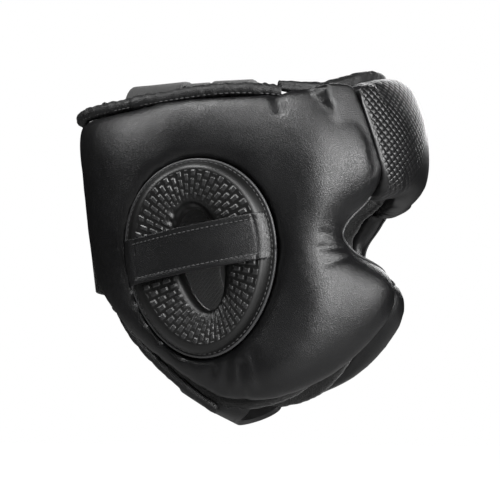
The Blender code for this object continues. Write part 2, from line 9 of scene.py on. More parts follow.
import bmesh
import bpy
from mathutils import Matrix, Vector, noise
from mathutils.bvhtree import BVHTree


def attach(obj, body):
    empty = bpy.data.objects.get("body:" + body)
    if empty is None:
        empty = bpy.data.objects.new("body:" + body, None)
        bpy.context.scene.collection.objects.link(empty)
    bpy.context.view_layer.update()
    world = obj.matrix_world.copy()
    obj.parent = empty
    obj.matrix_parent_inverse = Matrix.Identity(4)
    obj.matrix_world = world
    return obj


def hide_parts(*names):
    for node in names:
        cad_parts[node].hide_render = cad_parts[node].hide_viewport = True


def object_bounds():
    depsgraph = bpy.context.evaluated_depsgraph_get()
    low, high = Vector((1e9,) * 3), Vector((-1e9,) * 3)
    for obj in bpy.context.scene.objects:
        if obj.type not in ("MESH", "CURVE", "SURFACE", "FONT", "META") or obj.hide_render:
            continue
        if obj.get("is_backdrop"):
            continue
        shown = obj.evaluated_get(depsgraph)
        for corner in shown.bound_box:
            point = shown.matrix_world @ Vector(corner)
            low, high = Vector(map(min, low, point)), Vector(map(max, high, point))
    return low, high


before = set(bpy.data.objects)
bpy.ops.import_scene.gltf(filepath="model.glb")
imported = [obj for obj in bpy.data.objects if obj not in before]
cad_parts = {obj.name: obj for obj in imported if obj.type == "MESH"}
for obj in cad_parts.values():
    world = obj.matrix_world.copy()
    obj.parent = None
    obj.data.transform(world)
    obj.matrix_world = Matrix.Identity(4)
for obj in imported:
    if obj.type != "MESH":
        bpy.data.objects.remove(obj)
cad_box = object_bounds()
RIGHT, LEFT = -1, 1
SIDES = ((RIGHT, "right"), (LEFT, "left"))
print("nodes:", len(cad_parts))

# %% [markdown]
# The camera comes first, because everything is judged through it. It stands to the wearer's
# right, a little in front and a little lower than the middle of the headgear. A long lens
# keeps the near side from looking too big.

# %% Camera
TARGET = Vector((0, 0, -0.1195))
DISTANCE = 1.0
LENS = 97.27
azimuth, elevation = math.radians(10), math.radians(-6)
back = Vector(
    (
        math.sin(azimuth) * math.cos(elevation),
        -math.cos(azimuth) * math.cos(elevation),
        math.sin(elevation),
    )
)
camera = bpy.data.objects.new("camera", bpy.data.cameras.new("camera"))
bpy.context.scene.collection.objects.link(camera)
camera.data.lens = LENS
camera.data.clip_start = 0.05
camera.location = TARGET + back * DISTANCE
camera.rotation_mode = "QUATERNION"
camera.rotation_quaternion = (-back).to_track_quat("-Z", "Y")
bpy.context.scene.camera = camera
print("camera height:", round(camera.location.z, 3))

# %% [markdown]
# Black leather shows only what it reflects. So the room is fairly dark, and a few large soft
# lights draw the sheen: for the cheek, the brow, the side, the rear and the upper edge, with
# one more for the far side. Floor and backdrop look white to the camera only, because light
# that bounced off a white room would wash the black out.

# %% Floor, backdrop and lights
FLOOR, FLOOR_REACH = -0.42, 4
FLOOR_GREY = (0.30, 0.30, 0.30, 1)
WHITE = (1, 1, 1, 1)
ROOM_GREY = 0.010
AIM = (0.02, -0.07, -0.10)
# Name, place, aim, width, height and power of each light
LIGHTS = (
    ("cheek_light", (0.76, -0.94, 0.12), AIM, 0.48, 0.50, 14),
    ("brow_light", (1.12, -0.36, 0.12), AIM, 0.36, 0.34, 8),
    ("side_light", (0.27, -1.01, 0.51), AIM, 0.46, 0.40, 5),
    ("rear_light", (-0.90, -0.40, 0.51), AIM, 0.40, 0.40, 5),
    ("top_light", (-0.37, -0.54, 0.88), AIM, 0.50, 0.36, 9),
    ("far_light", (0.2, 1.2, 0.5), (0, 0, -0.1), 0.9, 0.6, 9),
)


def soft_light(name, place, aim, width, height, power):
    data = bpy.data.lights.new(name, "AREA")
    data.shape = "RECTANGLE"
    data.size = width
    data.size_y = height
    data.energy = power
    light = bpy.data.objects.new(name, data)
    bpy.context.scene.collection.objects.link(light)
    light.location = place
    light.rotation_mode = "QUATERNION"
    light.rotation_quaternion = (Vector(aim) - Vector(place)).to_track_quat("-Z", "Y")


for values in LIGHTS:
    soft_light(*values)

floor_grid = bmesh.new()
bmesh.ops.create_grid(floor_grid, x_segments=1, y_segments=1, size=FLOOR_REACH)
bmesh.ops.translate(floor_grid, verts=floor_grid.verts, vec=(0, 0, FLOOR))
floor_data = bpy.data.meshes.new("floor")
floor_grid.to_mesh(floor_data)
floor_grid.free()
floor = bpy.data.objects.new("floor", floor_data)
bpy.context.scene.collection.objects.link(floor)
floor_paint = bpy.data.materials.new("pale_floor")
floor_paint.use_nodes = True
floor_tree = floor_paint.node_tree
floor_shader = floor_tree.nodes["Principled BSDF"]
floor_shader.inputs["Base Color"].default_value = FLOOR_GREY
floor_shader.inputs["Roughness"].default_value = 0.9
floor_shader.inputs["Emission Color"].default_value = WHITE
ray_kind = floor_tree.nodes.new("ShaderNodeLightPath")
floor_tree.links.new(
    ray_kind.outputs["Is Camera Ray"], floor_shader.inputs["Emission Strength"]
)
floor_data.materials.append(floor_paint)
floor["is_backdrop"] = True

bpy.context.scene.view_settings.view_transform = "Standard"
world = bpy.data.worlds.new("studio")
bpy.context.scene.world = world
world.use_nodes = True
sky = world.node_tree
backdrop = sky.nodes["Background"]
backdrop.inputs["Color"].default_value = WHITE
ray_kind = sky.nodes.new("ShaderNodeLightPath")
strength = sky.nodes.new("ShaderNodeMapRange")
strength.inputs["To Min"].default_value = ROOM_GREY
strength.inputs["To Max"].default_value = 1.0
sky.links.new(ray_kind.outputs["Is Camera Ray"], strength.inputs["Value"])
sky.links.new(strength.outputs["Result"], backdrop.inputs["Strength"])

# %% [markdown]
# Every pad follows one head. The head is an oval at each height, and a table of heights gives
# its reach to the front, rear and side. A smooth curve through the table is read wherever a
# seam, a strap or a row of stitches needs its place.

# %% The shape of the head
HEAD_LENGTH = 0.205
HEAD_WIDTH = 0.158
SHELL_DROP = 0.236
LINING_WALL = 0.006
HEAD_LEVELS = (
    (-0.20, 0.36, 0.50, 0.80),
    (0.07, 0.447, 0.563, 0.93),
    (0.25, 0.466, 0.524, 0.99),
    (0.51, 0.461, 0.487, 1.00),
    (0.72, 0.445, 0.456, 0.96),
    (1.02, 0.405, 0.425, 0.85),
    (1.25, 0.370, 0.390, 0.76),
)


def smooth(share):
    share = min(1.0, max(0.0, share))
    return share * share * (3 - 2 * share)


def mix(start, end, share):
    return start + (end - start) * share


def curve_through(rows, key):
    """Every column of a table at a value of its first column, on a smooth curve."""
    last = len(rows) - 2
    index = max(0, min(last, sum(row[0] <= key for row in rows) - 1))
    before, start, end, after = (
        rows[max(0, min(last + 1, index + step))] for step in (-1, 0, 1, 2)
    )
    span = end[0] - start[0]
    share = (key - start[0]) / span
    ease_start = (2 * share - 3) * share * share + 1
    lean_start = share * (1 - share) ** 2 * span
    lean_end = share * share * (share - 1) * span
    found = []
    for column in range(1, len(start)):
        slope_start = (end[column] - before[column]) / (end[0] - before[0])
        slope_end = (after[column] - start[column]) / (after[0] - start[0])
        found.append(
            ease_start * start[column]
            + (1 - ease_start) * end[column]
            + lean_start * slope_start
            + lean_end * slope_end
        )
    return found


def head_radii(height):
    front, rear, side = curve_through(HEAD_LEVELS, -height / SHELL_DROP)
    return front * HEAD_LENGTH, rear * HEAD_LENGTH, side * HEAD_WIDTH / 2


def shell_point(angle, height, out, side=RIGHT):
    front, rear, half_width = head_radii(height)
    turn = math.radians(angle)
    reach = front if math.cos(turn) > 0 else rear
    return Vector(
        (
            (reach + out) * math.cos(turn),
            side * (half_width + out) * math.sin(turn),
            height,
        )
    )


def side_angle(x, height, out=0.0):
    front, rear, _ = head_radii(height)
    return math.degrees(math.acos(x / ((front if x > 0 else rear) + out)))


def side_point(x, height, out, side=RIGHT):
    return shell_point(side_angle(x, height, out), height, out, side)


print("half width at the ears:", round(head_radii(-0.13)[2], 4))

# %% [markdown]
# Small tools for nodes keep the materials readable. Grain, emboss and weave are each a group
# that only puts out heights and masks, so the shader itself stays in the material.

# %% Node helpers
def new_group(name, inputs, outputs):
    group = bpy.data.node_groups.new(name, "ShaderNodeTree")
    for label, kind, value in inputs:
        socket = group.interface.new_socket(label, in_out="INPUT", socket_type=kind)
        if value is not None:
            socket.default_value = value
    for label in outputs:
        group.interface.new_socket(
            label, in_out="OUTPUT", socket_type="NodeSocketFloat"
        )
    source = group.nodes.new("NodeGroupInput")
    target = group.nodes.new("NodeGroupOutput")
    return group, source, target


def plug(tree, value, socket):
    """Links an output to a socket, or sets the socket to a number."""
    if isinstance(value, bpy.types.NodeSocket):
        tree.links.new(value, socket)
    else:
        socket.default_value = value


def sum_node(tree, operation, first, second=0.0, third=0.0):
    made = tree.nodes.new("ShaderNodeMath")
    made.operation = operation
    for socket, value in zip(made.inputs, (first, second, third)):
        plug(tree, value, socket)
    return made.outputs[0]


def ridges(tree, value, scale):
    """Round ridges, with a groove wherever value times scale is a multiple of pi."""
    wave = sum_node(tree, "SINE", sum_node(tree, "MULTIPLY", value, scale))
    return sum_node(tree, "ABSOLUTE", wave)


def cloud(tree, place, scale, detail):
    made = tree.nodes.new("ShaderNodeTexNoise")
    plug(tree, place, made.inputs["Vector"])
    plug(tree, scale, made.inputs["Scale"])
    made.inputs["Detail"].default_value = detail
    return made.outputs["Fac"]


def split(tree, place):
    made = tree.nodes.new("ShaderNodeSeparateXYZ")
    plug(tree, place, made.inputs[0])
    return made.outputs


def remap(tree, value, low, high, new_low, new_high):
    made = tree.nodes.new("ShaderNodeMapRange")
    plug(tree, value, made.inputs["Value"])
    for label, number in (
        ("From Min", low), ("From Max", high), ("To Min", new_low), ("To Max", new_high),
    ):
        plug(tree, number, made.inputs[label])
    return made.outputs["Result"]


# %% [markdown]
# Leather grain is a net of tiny cells with soft creases between them. A second, wider cloud
# changes how shiny the skin is from place to place, as handling does.

# %% Group: leather grain
VECTOR = "NodeSocketVector"
FLOAT = "NodeSocketFloat"
grain, given, made_out = new_group(
    "leather_grain",
    [("Place", VECTOR, None), ("Cells", FLOAT, 900.0), ("Patches", FLOAT, 28.0)],
    ["Height", "Patch"],
)
cells = grain.nodes.new("ShaderNodeTexVoronoi")
cells.feature = "DISTANCE_TO_EDGE"
grain.links.new(given.outputs["Place"], cells.inputs["Vector"])
grain.links.new(given.outputs["Cells"], cells.inputs["Scale"])
creases = remap(grain, cells.outputs["Distance"], 0.0, 0.25, 0.0, 1.0)
pores = cloud(grain, given.outputs["Place"], given.outputs["Cells"], 1.0)
height = sum_node(grain, "MULTIPLY_ADD", pores, 0.35, creases)
grain.links.new(height, made_out.inputs["Height"])
patch = cloud(grain, given.outputs["Place"], given.outputs["Patches"], 3.0)
grain.links.new(patch, made_out.inputs["Patch"])

# %% [markdown]
# Three patterns are heights worked out from a flat position. The lining is woven, with short
# ribs that run two over and two under. The brow pad wears small pillows set on their
# corners. The ear rings wear short dashes, and every second row is shifted by half a dash.

# %% Groups: weave, pressed diamonds and pressed dashes
weave, given, made_out = new_group(
    "pressed_weave",
    [("Across", FLOAT, 0.0), ("Up", FLOAT, 0.0), ("Pitch", FLOAT, 0.0024)],
    ["Height"],
)
across = sum_node(weave, "DIVIDE", given.outputs["Across"], given.outputs["Pitch"])
up = sum_node(weave, "DIVIDE", given.outputs["Up"], given.outputs["Pitch"])
steps = sum_node(
    weave, "SUBTRACT", sum_node(weave, "FLOOR", across), sum_node(weave, "FLOOR", up)
)
cycle = sum_node(weave, "FLOORED_MODULO", steps, 4.0)
standing = sum_node(weave, "LESS_THAN", cycle, 1.5)
rib_up = ridges(weave, across, math.pi)
rib_flat = ridges(weave, up, math.pi)
lying = sum_node(weave, "SUBTRACT", 1.0, standing)
height = sum_node(
    weave,
    "ADD",
    sum_node(weave, "MULTIPLY", rib_up, standing),
    sum_node(weave, "MULTIPLY", rib_flat, lying),
)
weave.links.new(sum_node(weave, "POWER", height, 0.6), made_out.inputs["Height"])

diamonds, given, made_out = new_group(
    "pressed_diamonds",
    [("Across", FLOAT, 0.0), ("Up", FLOAT, 0.0), ("Pitch", FLOAT, 0.0056)],
    ["Height"],
)
across = sum_node(diamonds, "DIVIDE", given.outputs["Across"], given.outputs["Pitch"])
up = sum_node(diamonds, "DIVIDE", given.outputs["Up"], given.outputs["Pitch"])
waves = []
for operation in ("ADD", "SUBTRACT"):
    waves.append(ridges(diamonds, sum_node(diamonds, operation, across, up), math.pi))
pillow = sum_node(diamonds, "MULTIPLY", waves[0], waves[1])
diamonds.links.new(sum_node(diamonds, "POWER", pillow, 0.45), made_out.inputs["Height"])

dashes, given, made_out = new_group(
    "pressed_dashes",
    [
        ("Across", FLOAT, 0.0),
        ("Up", FLOAT, 0.0),
        ("Width", FLOAT, 0.00455),
        ("Length", FLOAT, 0.0070),
    ],
    ["Height"],
)
across = sum_node(dashes, "DIVIDE", given.outputs["Across"], given.outputs["Width"])
up = sum_node(dashes, "DIVIDE", given.outputs["Up"], given.outputs["Length"])
odd = sum_node(dashes, "FLOORED_MODULO", sum_node(dashes, "FLOOR", across), 2.0)
up = sum_node(dashes, "MULTIPLY_ADD", odd, 0.5, up)
DASH_EDGE = 0.16
inside = []
for value, edge in ((across, 0.34), (up, 0.40)):
    middle = sum_node(dashes, "SUBTRACT", sum_node(dashes, "FRACT", value), 0.5)
    inside.append(
        remap(dashes, sum_node(dashes, "ABSOLUTE", middle), edge, edge - DASH_EDGE, 0.0, 1.0)
    )
dashes.links.new(sum_node(dashes, "MULTIPLY", inside[0], inside[1]), made_out.inputs["Height"])
print("node groups:", len(bpy.data.node_groups))

# %% [markdown]
# Eight finishes cover the headgear. All are nearly black, so they differ mostly by gloss, grain
# and relief. Some colour is painted light: the pressed and woven skins have painted shade in
# their grooves and painted light on their raised tops, and the piping is painted lighter as a
# painted highlight.

# %% Materials
def new_material(name, colour, roughness, sheen=0.0):
    made = bpy.data.materials.new(name)
    made.use_nodes = True
    tree = made.node_tree
    shader = tree.nodes["Principled BSDF"]
    shader.inputs["Base Color"].default_value = (*colour, 1)
    shader.inputs["Roughness"].default_value = roughness
    shader.inputs["Sheen Weight"].default_value = sheen
    place = tree.nodes.new("ShaderNodeTexCoord").outputs["Object"]
    return made, tree, shader, place


def use_group(tree, group, values):
    made = tree.nodes.new("ShaderNodeGroup")
    made.node_tree = group
    for label, value in values.items():
        plug(tree, value, made.inputs[label])
    return made.outputs


def raise_surface(tree, shader, height, distance):
    bump = tree.nodes.new("ShaderNodeBump")
    bump.inputs["Distance"].default_value = distance
    bump.inputs["Strength"].default_value = 1.0
    tree.links.new(height, bump.inputs["Height"])
    tree.links.new(bump.outputs["Normal"], shader.inputs["Normal"])


def tint(tree, shader, mask, dark, light):
    colour = tree.nodes.new("ShaderNodeMix")
    colour.data_type = "RGBA"
    tree.links.new(mask, colour.inputs["Factor"])
    colour.inputs["A"].default_value = (*dark, 1)
    colour.inputs["B"].default_value = (*light, 1)
    tree.links.new(colour.outputs["Result"], shader.inputs["Base Color"])


def leather_like(name, colour, light, rough_low, rough_high, cells_scale, depth):
    made, tree, shader, place = new_material(name, colour, rough_low)
    out = use_group(tree, grain, {"Place": place, "Cells": cells_scale})
    tint(tree, shader, out["Patch"], colour, light)
    tree.links.new(
        remap(tree, out["Patch"], 0.3, 0.7, rough_low, rough_high), shader.inputs["Roughness"]
    )
    raise_surface(tree, shader, out["Height"], depth)
    return made


leather = leather_like(
    "leather", (0.003, 0.003, 0.0033), (0.006, 0.006, 0.0064), 0.28, 0.36, 900.0, 0.00006
)
binding = leather_like(
    "binding", (0.002, 0.002, 0.0022), (0.006, 0.006, 0.0064), 0.42, 0.60, 620.0, 0.00014
)
# Painted highlight: the piping's colour is painted much lighter than the leather, for the bright
# line of light along the cord.
piping = leather_like(
    "piping", (0.030, 0.030, 0.031), (0.050, 0.050, 0.051), 0.28, 0.38, 1100.0, 0.00003
)

ring_skin, tree, shader, place = new_material("ring_skin", (0.016, 0.016, 0.017), 0.30)
spot = tree.nodes.new("ShaderNodeUVMap")
spot.uv_map = "round_ring"
parts = split(tree, spot.outputs["UV"])
out = use_group(tree, dashes, {"Across": parts["X"], "Up": parts["Y"]})
mask = tree.nodes.new("ShaderNodeAttribute")
mask.attribute_name = "pressed"
pressed_dash = sum_node(tree, "MULTIPLY", out["Height"], mask.outputs["Fac"])
# Painted light and shade: the raised dashes are painted lighter as a painted highlight, and the
# grooves between them darker as painted shade.
tint(tree, shader, pressed_dash, (0.002, 0.002, 0.002), (0.024, 0.024, 0.0245))
tree.links.new(
    remap(tree, pressed_dash, 0.0, 1.0, 0.40, 0.24), shader.inputs["Roughness"]
)
raise_surface(tree, shader, pressed_dash, 0.0006)

brow_skin, tree, shader, place = new_material("brow_skin", (0.018, 0.018, 0.019), 0.34)
spot = tree.nodes.new("ShaderNodeUVMap")
spot.uv_map = "round_head"
parts = split(tree, spot.outputs["UV"])
out = use_group(tree, diamonds, {"Across": parts["X"], "Up": parts["Y"]})
mask = tree.nodes.new("ShaderNodeAttribute")
mask.attribute_name = "pressed"
# Painted light and shade: the pillow tops are painted lighter and the grooves between them darker,
# over the whole brow, also where the pressing fades out.
tint(tree, shader, out["Height"], (0.002, 0.002, 0.002), (0.009, 0.009, 0.0095))
raise_surface(
    tree, shader, sum_node(tree, "MULTIPLY", out["Height"], mask.outputs["Fac"]), 0.0006
)

lining_cloth, tree, shader, place = new_material(
    "lining_cloth", (0.012, 0.012, 0.012), 0.8, 0.25
)
parts = split(tree, place)
level = sum_node(tree, "ADD", parts["X"], parts["Y"])
knit = use_group(tree, weave, {"Across": level, "Up": parts["Z"], "Pitch": 0.0011})
# Painted light and shade: the rib tops of the weave are painted lighter and the grooves between
# them darker.
tint(tree, shader, knit["Height"], (0.003, 0.003, 0.003), (0.010, 0.010, 0.010))
raise_surface(tree, shader, knit["Height"], 0.0003)

webbing, tree, shader, place = new_material("webbing", (0.012, 0.012, 0.012), 0.72, 0.2)
parts = split(tree, place)
rib = ridges(tree, parts["X"], 1900.0)
fleck = cloud(tree, place, 1400.0, 1.0)
tint(tree, shader, fleck, (0.003, 0.003, 0.003), (0.011, 0.011, 0.011))
raise_surface(tree, shader, sum_node(tree, "MULTIPLY_ADD", fleck, 0.4, rib), 0.0004)

thread, tree, shader, place = new_material("thread", (0.045, 0.045, 0.046), 0.55, 0.1)
twist = cloud(tree, place, 2600.0, 1.0)
tint(tree, shader, twist, (0.030, 0.030, 0.031), (0.065, 0.065, 0.066))
raise_surface(tree, shader, twist, 0.0001)
print("materials:", len(bpy.data.materials))

# %% [markdown]
# A few tools serve nearly every piece. They copy solids of the frame into a fresh mesh, turn
# a mesh into a piece that rides on the body, and rebuild or round off its skin.

# %% Piece helpers
def frame_copy(*names):
    """A merged copy of these solids of the frame."""
    whole = bmesh.new()
    for name in names:
        whole.from_mesh(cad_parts[name].data)
    bmesh.ops.remove_doubles(whole, verts=whole.verts, dist=0.00001)
    return whole


def make_object(name, grid, material):
    data = bpy.data.meshes.new(name)
    grid.to_mesh(data)
    grid.free()
    data.materials.clear()
    data.materials.append(material)
    data.shade_smooth()
    piece = bpy.data.objects.new(name, data)
    bpy.context.scene.collection.objects.link(piece)
    return piece


def apply_modifiers(piece):
    bpy.context.view_layer.update()
    seen = piece.evaluated_get(bpy.context.evaluated_depsgraph_get())
    fresh = bpy.data.meshes.new_from_object(seen)
    piece.modifiers.clear()
    piece.data = fresh
    fresh.shade_smooth()


def seat_piece(piece, slot, *solids):
    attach(piece, "root")
    if solids:
        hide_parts(*solids)
    print(piece.name, "faces:", len(piece.data.polygons))
    return piece


def voxel_skin(piece, size, rounds):
    """Rebuilds the surface in even cells and irons out the facets."""
    skin = piece.modifiers.new("Skin", "REMESH")
    skin.mode = "VOXEL"
    skin.voxel_size = size
    apply_modifiers(piece)
    grid = bmesh.new()
    grid.from_mesh(piece.data)
    for _ in range(rounds):
        bmesh.ops.smooth_vert(
            grid, verts=grid.verts, factor=0.5, use_axis_x=True, use_axis_y=True, use_axis_z=True
        )
    grid.to_mesh(piece.data)
    grid.free()


def round_off(piece):
    curve = piece.modifiers.new("Rounding", "SUBSURF")
    curve.levels = 1
    curve.render_levels = 1
    apply_modifiers(piece)


def head_distance(point):
    """How far outside the head a point is, roughly."""
    front, rear, half_width = head_radii(point.z)
    reach = front if point.x > 0 else rear
    share = math.hypot(point.x / reach, point.y / half_width)
    return (share - 1) * math.hypot(point.x, point.y) / max(share, 0.01)


# %% [markdown]
# Foam under leather is pushed out by its own spring and held back by its seams. A cloth
# simulation with a little pressure and no gravity shows just that. The face that lies on
# the lining is pinned, and no point may travel further than a few millimetres.

# %% Swelling a pad
PINNED_WITHIN = 0.0105
SWELL_FRAMES = 20
CLOTH_STIFFNESS = 20


def swell(piece, pressure, cap):
    start = [point.co.copy() for point in piece.data.vertices]
    pins = piece.vertex_groups.new(name="pins")
    held = [i for i, co in enumerate(start) if head_distance(co) < PINNED_WITHIN]
    pins.add(held, 1.0, "REPLACE")
    cloth = piece.modifiers.new("Cloth", "CLOTH")
    cloth.settings.quality = 5
    cloth.settings.use_pressure = True
    cloth.settings.uniform_pressure_force = pressure
    cloth.settings.effector_weights.gravity = 0
    cloth.settings.vertex_group_mass = "pins"
    cloth.settings.tension_stiffness = CLOTH_STIFFNESS
    cloth.settings.compression_stiffness = CLOTH_STIFFNESS
    cloth.point_cache.frame_start = 1
    cloth.point_cache.frame_end = SWELL_FRAMES
    for step in range(1, SWELL_FRAMES + 1):
        bpy.context.scene.frame_set(step)
    apply_modifiers(piece)
    furthest = 0.0
    for point, was in zip(piece.data.vertices, start):
        moved = point.co - was
        furthest = max(furthest, moved.length)
        if moved.length > cap:
            point.co = was + moved.normalized() * cap
    bpy.context.scene.frame_set(1)
    print(piece.name, "swelled by up to mm:", round(1000 * min(furthest, cap), 2))


# %% [markdown]
# The side pads are the main form: flat and sunk round the ear, then a soft ridge and a full
# bulge over the cheekbone. Where the leather is pulled tight it dents. Each dent is a short
# line in side view with a width and a depth.

# %% Side pads
VOXEL = 0.0038
EAR_X = -0.0190
EAR_DROP = 0.569
# Start x and z, end x and z, width and depth of each dent, in metres
DENTS = (
    (0.002, -0.205, -0.001, -0.222, 0.0042, 0.0016),
    (0.010, -0.206, 0.011, -0.226, 0.0036, 0.0018),
    (-0.008, -0.205, -0.014, -0.219, 0.0045, 0.0012),
    (0.019, -0.200, 0.024, -0.220, 0.0044, 0.0012),
    (0.076, -0.122, 0.066, -0.119, 0.0024, 0.0008),
    (0.077, -0.128, 0.064, -0.129, 0.0022, 0.0009),
    (0.080, -0.135, 0.069, -0.140, 0.0024, 0.0008),
    (0.034, -0.024, 0.037, -0.034, 0.0040, 0.0018),
)


def dent_depth(x, z):
    depth = 0.0
    for x0, z0, x1, z1, width, deep in DENTS:
        run_x, run_z = x1 - x0, z1 - z0
        along = ((x - x0) * run_x + (z - z0) * run_z) / (run_x**2 + run_z**2)
        near = min(1.0, max(0.0, along))
        away = math.hypot(x - x0 - run_x * near, z - z0 - run_z * near)
        depth += deep * math.exp(-((away / width) ** 2))
    return depth


# Height in metres and waves for each metre, of the wide and the fine unevenness
SKIN_WAVES = ((0.00035, 26), (0.00012, 85))


def skin_waves(point):
    """The slight unevenness that foam leaves in leather."""
    return sum(high * noise.noise(point * often) for high, often in SKIN_WAVES)


def move_skin(piece, rule):
    """Moves each point of the outer skin along its normal by what the rule gives."""
    normals = [point.normal.copy() for point in piece.data.vertices]
    for point, normal in zip(piece.data.vertices, normals):
        if head_distance(point.co) > PINNED_WITHIN:
            point.co = point.co + normal * rule(point.co)


def round_angle(point):
    """The angle round the head, 0 at the brow and 180 at the nape, on either side."""
    out = head_distance(point)
    front, rear, half_width = head_radii(point.z)
    reach = front if point.x > 0 else rear
    return math.degrees(math.atan2(abs(point.y) / (half_width + out), point.x / (reach + out)))


PAD_TOP = (
    (0, 0.018), (11, 0.024), (22, 0.037), (33, 0.056), (43, 0.080), (48, 0.088),
    (61, 0.092), (71, 0.099), (94, 0.101), (119, 0.111), (143, 0.115), (180, 0.109),
)
LIFT_FRONT, LIFT_SIDE, LIFT_DEPTH = 0.0056, 0.0034, 0.016


def lift_top(piece):
    """Draws a pad's upper edge up into the rolled edge, where it is sewn."""
    for point in piece.data.vertices:
        angle = round_angle(point.co)
        edge = -SHELL_DROP * curve_through(PAD_TOP, angle)[0]
        lift = mix(LIFT_FRONT, LIFT_SIDE, smooth((angle - 50) / 20))
        point.co.z += lift * smooth(1 - (edge - point.co.z) / LIFT_DEPTH)


SEAM_LOW, SEAM_HIGH = (34.5, 0.402), (47.7, 0.088)
SEAM_ARC = 0.108
SHOULDER_OUT = 0.0372
GROOVE_DEPTH, GROOVE_WIDTH = 0.0022, 0.0022
SEAM_REACH, SEAM_FOOT = 0.022, 0.012
SEAM_BOTTOM, SEAM_TOP, SEAM_BACK = -0.102, -0.002, 0.02
# Where the shoulder has sunk to nothing at the seam's two ends, and over what height it does
LOW_FADE, HIGH_FADE = (-0.094, 0.022), (-0.007, 0.012)
SLIDE, SLIDE_REACH = 0.005, 0.009


def seam_angle(z):
    share = (SEAM_LOW[1] + z / SHELL_DROP) / (SEAM_LOW[1] - SEAM_HIGH[1])
    return mix(SEAM_LOW[0], SEAM_HIGH[0], share)


def meet_at_seam(piece, way):
    """Brings the shoulder of a pad out flat to the brow seam, and leaves only a fine groove."""
    for point in piece.data.vertices:
        co = point.co
        if not SEAM_BOTTOM < co.z < SEAM_TOP or co.x < SEAM_BACK:
            continue
        away = max(0.0, way * math.radians(round_angle(co) - seam_angle(co.z)) * SEAM_ARC)
        out = head_distance(co)
        if away > SEAM_REACH or out < SEAM_FOOT:
            continue
        low_end = smooth((co.z - LOW_FADE[0]) / LOW_FADE[1])
        ends = low_end * smooth((HIGH_FADE[0] - co.z) / HIGH_FADE[1])
        groove = GROOVE_DEPTH * math.exp(-((away / GROOVE_WIDTH) ** 2))
        goal = mix(out, SHOULDER_OUT - groove, ends)
        push = max(0.0, goal - out) * smooth((out - SEAM_FOOT) / 0.010)
        outward = Vector((co.x, co.y, 0)).normalized()
        side = 1 if co.y > 0 else -1
        along = Vector((-outward.y, outward.x, 0)) * side
        slide = way * min(away, SLIDE) * (1 - smooth(away / SLIDE_REACH))
        point.co = co + outward * push - along * slide


def make_side_pad(word):
    node = "side_pad_" + word
    piece = make_object("cheek_and_side_" + word, frame_copy(node), leather)
    voxel_skin(piece, VOXEL, 9)
    swell(piece, 4.0, 0.005)
    lift_top(piece)
    meet_at_seam(piece, 1)
    round_off(piece)
    move_skin(piece, lambda co: skin_waves(co) - dent_depth(co.x, co.z))
    return seat_piece(piece, "leather", node)


side_skins = {side: make_side_pad(word) for side, word in SIDES}

# %% [markdown]
# The brow pad is one thick roll with a pressed skin. The pressing fades out towards its
# middle, so each point stores how deep it is. A map round the head keeps the pattern even
# where the pad turns from front to side.

# %% Brow pad and nape pad
MAP_ARC = 0.118
# The plain middle of the brow, and the width over which the pressing comes in
PLAIN_MIDDLE, PRESS_FADE = 0.012, 0.030


def store_round_map(piece):
    """A map in metres: across is the arc round the head, up is the height."""
    grid = bmesh.new()
    grid.from_mesh(piece.data)
    layer = grid.loops.layers.uv.new("round_head")
    for face in grid.faces:
        for corner in face.loops:
            co = corner.vert.co
            corner[layer].uv = (math.atan2(co.y, co.x) * MAP_ARC, co.z)
    grid.to_mesh(piece.data)
    grid.free()


def store_mask(piece, rule):
    layer = piece.data.attributes.new("pressed", "FLOAT", "POINT")
    for index, point in enumerate(piece.data.vertices):
        layer.data[index].value = rule(point.co)


def brow_mask(co):
    arc = abs(math.atan2(co.y, co.x)) * MAP_ARC
    diagonal = arc + (co.z + 0.055) * 0.55
    seam = math.radians(seam_angle(co.z) - round_angle(co)) * SEAM_ARC
    inside = smooth((seam - 0.002) / 0.004) * smooth((co.z + 0.096) / 0.008)
    return smooth((diagonal - PLAIN_MIDDLE) / PRESS_FADE) * inside


brow = make_object("brow_roll", frame_copy("brow_pad"), brow_skin)
voxel_skin(brow, VOXEL, 6)
swell(brow, 4.0, 0.002)
lift_top(brow)
meet_at_seam(brow, -1)
round_off(brow)
move_skin(brow, skin_waves)
store_round_map(brow)
store_mask(brow, brow_mask)
seat_piece(brow, "carbon_leather", "brow_pad")

nape = make_object("nape_cushion", frame_copy("nape_pad"), leather)
voxel_skin(nape, 0.0024, 4)
swell(nape, 4.0, 0.0015)
round_off(nape)
seat_piece(nape, "leather", "nape_pad")

# %% [markdown]
# The lining is thin foam under knitted cloth. Its four panels are sewn edge to edge, so they
# are joined into one skin here, and it is smoothed more than the pads.

# %% Lining
LINING_NODES = ("nape_lining", "brow_lining", "side_lining_right", "side_lining_left")
lining = make_object("soft_lining", frame_copy(*LINING_NODES), lining_cloth)
voxel_skin(lining, 0.0022, 6)
round_off(lining)
seat_piece(lining, "lining", *LINING_NODES)

# %% [markdown]
# Each ear ring starts as a plain ring of quads. Its cross-section is then drawn by a rule:
# a low flange under the piping, a smooth rolled band, the pressed field, and a soft lip
# that turns down into the hole and puckers where the leather is gathered.

# %% Ear rings
RING_WIDTH, RING_HEIGHT, RING_WALL = 0.106, 0.133, 0.021
RING_TAPER, RING_LEAN = 0.12, 5.6
HOLE_WIDTH, HOLE_HEIGHT, HOLE_LEAN = 0.031, 0.071, 13.0
HOLE_SHIFT = 0.0015
SEAT = 0.0068
# Radius of the ring's pattern map and half its depth, from the hole to the outline
RING_MAP_RADIUS, RING_MAP_DEPTH = 0.042, 0.021
# Share from the hole, 0, to the outline, 1, and the height of the face there
RING_FACE = (
    (0.00, 0.30),
    (0.05, 0.60),
    (0.14, 0.74),
    (0.34, 0.84),
    (0.56, 0.93),
    (0.70, 0.98),
    (0.76, 1.00),
    (0.82, 0.98),
    (0.89, 0.90),
    (0.95, 0.76),
    (0.975, 0.66),
    (1.00, 0.58),
)


